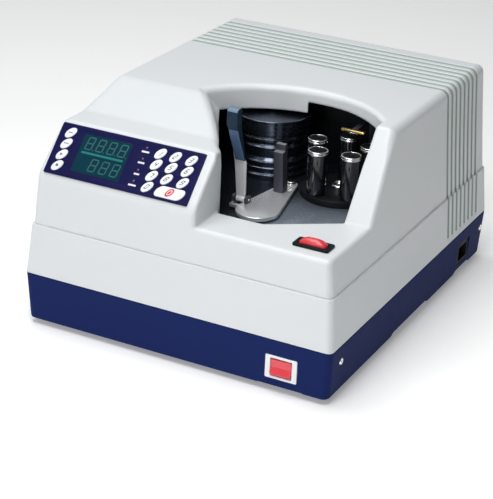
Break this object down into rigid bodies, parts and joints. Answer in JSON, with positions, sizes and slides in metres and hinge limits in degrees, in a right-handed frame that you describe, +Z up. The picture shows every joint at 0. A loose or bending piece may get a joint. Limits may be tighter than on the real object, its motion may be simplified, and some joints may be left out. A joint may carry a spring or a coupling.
{
  "type": "banknote counting machine",
  "caption": "Bench spindle-type banknote counter: navy base, white cover with ribbed rear, slanted keypad and display, arched note pocket with clamp and turret of suction spindles.",
  "frame": {"origin": "on the surface the machine stands on, under the centre of its bounding box", "axes": "+X to the machine's right as its user sees it, +Y from the front (keypad and switch) to the rear, +Z up"},
  "size_m": [0.35, 0.4296, 0.2526],
  "materials": {
    "cover_white": "fine matt moulded texture, cool off-white",
    "base_blue": "semi-matt navy blue moulding",
    "black_rubber": "matt",
    "zinc_steel": "plain zinc plated sheet",
    "deck_steel": "polished dark blue-grey lacquer",
    "black_liner": "matt black",
    "drum_lacquer": "glossy blue-black, turned bands",
    "yellow_zinc": "yellow passivated zinc",
    "bright_chrome": "polished",
    "cast_alloy": "as cast and machined",
    "gear_brass": "machined",
    "motor_grey": "satin dark grey",
    "belt_black": "matt",
    "lamination": "varnished laminations",
    "board_green": "solder resist",
    "digit_grey": "unlit seven-segment faces behind the tinted window",
    "window_teal": "glossy tinted window, near opaque when unlit",
    "overlay_indigo": "semi-matt printed polyester film",
    "lamp_red": "unlit lamp lens",
    "bezel_white": "semi-gloss white",
    "bezel_black": "semi-gloss black",
    "button_red": "glossy red",
    "key_white": "semi-gloss white",
    "spindle_black": "glossy black",
    "jaw_grey": "satin dark grey",
    "grip_blue": "satin blue-grey"
  },
  "bodies": {
    "base": {"base_pan": "base_blue", "rubber_feet": "black_rubber", "chassis_plate": "zinc_steel", "deck_posts": "zinc_steel", "cover_screws": "bright_chrome", "top_cover": "cover_white", "cavity_deck": "deck_steel", "cavity_shroud": "black_liner", "guide_drum": "drum_lacquer", "sensor_bracket": "yellow_zinc", "clamp_pivot": "bright_chrome", "gear_housing": "cast_alloy", "sun_gear": "gear_brass", "turret_bearings": "zinc_steel", "drive_motor": "motor_grey", "drive_belt": "belt_black", "vacuum_pump": "motor_grey", "vacuum_hose": "black_rubber", "vacuum_union": "gear_brass", "transformer": "lamination", "power_board": "board_green", "control_board": "board_green", "display_board": "board_green", "digit_displays": "digit_grey", "display_window": "window_teal", "panel_overlay": "overlay_indigo", "indicator_lamps": "lamp_red", "switch_housing": "bezel_white", "start_bezel": "bezel_black", "power_inlet": "bezel_black"},
    "turret": {"turret_disc": "deck_steel", "turret_shaft": "zinc_steel", "turret_pulley": "cast_alloy"},
    "motor": {"motor_pulley": "cast_alloy"},
    "clamp": {"clamp_plate": "bright_chrome", "fixed_jaw": "jaw_grey"},
    "lever": {"clamp_lever": "bright_chrome", "lever_grip": "grip_blue"},
    "rocker": {"power_rocker": "button_red"},
    "start": {"start_button": "button_red"},
    "spindle_1_body": {"spindle_1": "spindle_black"},
    "spindle_2_body": {"spindle_2": "spindle_black"},
    "spindle_3_body": {"spindle_3": "spindle_black"},
    "spindle_4_body": {"spindle_4": "spindle_black"},
    "spindle_5_body": {"spindle_5": "spindle_black"},
    "key_0_body": {"key_0": "key_white"},
    "key_1_body": {"key_1": "key_white"},
    "key_2_body": {"key_2": "key_white"},
    "key_3_body": {"key_3": "key_white"},
    "key_4_body": {"key_4": "key_white"},
    "key_5_body": {"key_5": "key_white"},
    "key_6_body": {"key_6": "key_white"},
    "key_7_body": {"key_7": "key_white"},
    "key_8_body": {"key_8": "key_white"},
    "key_9_body": {"key_9": "key_white"},
    "key_clear_body": {"key_clear": "key_white"},
    "key_f1_body": {"key_f1": "key_white"},
    "key_f2_body": {"key_f2": "key_white"},
    "key_f3_body": {"key_f3": "key_white"},
    "key_f4_body": {"key_f4": "key_white"}
  },
  "joints": [
    {"name": "turret_spin", "type": "hinge", "parent": "base", "child": "turret", "pos_m": [0.09, -0.02325, 0.14], "axis": [0, 0, 1], "continuous": true},
    {"name": "spindle_1_spin", "type": "hinge", "parent": "turret", "child": "spindle_1_body", "pos_m": [0.07578, -0.04966, 0.14], "axis": [0, 0, 1], "continuous": true},
    {"name": "spindle_2_spin", "type": "hinge", "parent": "turret", "child": "spindle_2_body", "pos_m": [0.11073, -0.04494, 0.14], "axis": [0, 0, 1], "continuous": true},
    {"name": "spindle_3_spin", "type": "hinge", "parent": "turret", "child": "spindle_3_body", "pos_m": [0.11703, -0.01024, 0.14], "axis": [0, 0, 1], "continuous": true},
    {"name": "spindle_4_spin", "type": "hinge", "parent": "turret", "child": "spindle_4_body", "pos_m": [0.08598, 0.00648, 0.14], "axis": [0, 0, 1], "continuous": true},
    {"name": "spindle_5_spin", "type": "hinge", "parent": "turret", "child": "spindle_5_body", "pos_m": [0.06048, -0.01789, 0.14], "axis": [0, 0, 1], "continuous": true},
    {"name": "motor_spin", "type": "hinge", "parent": "base", "child": "motor", "pos_m": [0.0887, 0.06125, 0.09], "axis": [0, 0, 1], "continuous": true},
    {"name": "clamp_swing", "type": "hinge", "parent": "base", "child": "clamp", "pos_m": [0.042, -0.03875, 0.144], "axis": [0, 0, 1], "range_deg": [-10, 0]},
    {"name": "lever_open", "type": "hinge", "parent": "clamp", "child": "lever", "pos_m": [0.02, -0.10875, 0.149], "axis": [1, 0, 0], "range_deg": [-20, 0], "stiffness_Nm_per_rad": 0.3},
    {"name": "power_rock", "type": "hinge", "parent": "base", "child": "rocker", "pos_m": [0.1227, -0.20823, 0.029], "axis": [1, 0, 0], "range_deg": [0, 18]},
    {"name": "start_press", "type": "slide", "parent": "base", "child": "start", "axis": [0, 0, -1], "range_m": [0, 0.0025], "stiffness_N_per_m": 600},
    {"name": "key_0_press", "type": "slide", "parent": "base", "child": "key_0_body", "axis": [0, 0.7226, -0.6912], "range_m": [0, 0.0004], "stiffness_N_per_m": 3000},
    {"name": "key_1_press", "type": "slide", "parent": "base", "child": "key_1_body", "axis": [0, 0.7226, -0.6912], "range_m": [0, 0.0004], "stiffness_N_per_m": 3000},
    {"name": "key_2_press", "type": "slide", "parent": "base", "child": "key_2_body", "axis": [0, 0.7226, -0.6912], "range_m": [0, 0.0004], "stiffness_N_per_m": 3000},
    {"name": "key_3_press", "type": "slide", "parent": "base", "child": "key_3_body", "axis": [0, 0.7226, -0.6912], "range_m": [0, 0.0004], "stiffness_N_per_m": 3000},
    {"name": "key_4_press", "type": "slide", "parent": "base", "child": "key_4_body", "axis": [0, 0.7226, -0.6912], "range_m": [0, 0.0004], "stiffness_N_per_m": 3000},
    {"name": "key_5_press", "type": "slide", "parent": "base", "child": "key_5_body", "axis": [0, 0.7226, -0.6912], "range_m": [0, 0.0004], "stiffness_N_per_m": 3000},
    {"name": "key_6_press", "type": "slide", "parent": "base", "child": "key_6_body", "axis": [0, 0.7226, -0.6912], "range_m": [0, 0.0004], "stiffness_N_per_m": 3000},
    {"name": "key_7_press", "type": "slide", "parent": "base", "child": "key_7_body", "axis": [0, 0.7226, -0.6912], "range_m": [0, 0.0004], "stiffness_N_per_m": 3000},
    {"name": "key_8_press", "type": "slide", "parent": "base", "child": "key_8_body", "axis": [0, 0.7226, -0.6912], "range_m": [0, 0.0004], "stiffness_N_per_m": 3000},
    {"name": "key_9_press", "type": "slide", "parent": "base", "child": "key_9_body", "axis": [0, 0.7226, -0.6912], "range_m": [0, 0.0004], "stiffness_N_per_m": 3000},
    {"name": "key_clear_press", "type": "slide", "parent": "base", "child": "key_clear_body", "axis": [0, 0.7226, -0.6912], "range_m": [0, 0.0004], "stiffness_N_per_m": 3000},
    {"name": "key_f1_press", "type": "slide", "parent": "base", "child": "key_f1_body", "axis": [0, 0.7226, -0.6912], "range_m": [0, 0.0004], "stiffness_N_per_m": 3000},
    {"name": "key_f2_press", "type": "slide", "parent": "base", "child": "key_f2_body", "axis": [0, 0.7226, -0.6912], "range_m": [0, 0.0004], "stiffness_N_per_m": 3000},
    {"name": "key_f3_press", "type": "slide", "parent": "base", "child": "key_f3_body", "axis": [0, 0.7226, -0.6912], "range_m": [0, 0.0004], "stiffness_N_per_m": 3000},
    {"name": "key_f4_press", "type": "slide", "parent": "base", "child": "key_f4_body", "axis": [0, 0.7226, -0.6912], "range_m": [0, 0.0004], "stiffness_N_per_m": 3000}
  ],
  "couplings": [
    {"joint": "spindle_1_spin", "follows": "turret_spin", "ratio": 2},
    {"joint": "spindle_2_spin", "follows": "turret_spin", "ratio": 2},
    {"joint": "spindle_3_spin", "follows": "turret_spin", "ratio": 2},
    {"joint": "spindle_4_spin", "follows": "turret_spin", "ratio": 2},
    {"joint": "spindle_5_spin", "follows": "turret_spin", "ratio": 2},
    {"joint": "motor_spin", "follows": "turret_spin", "ratio": 2}
  ]
}
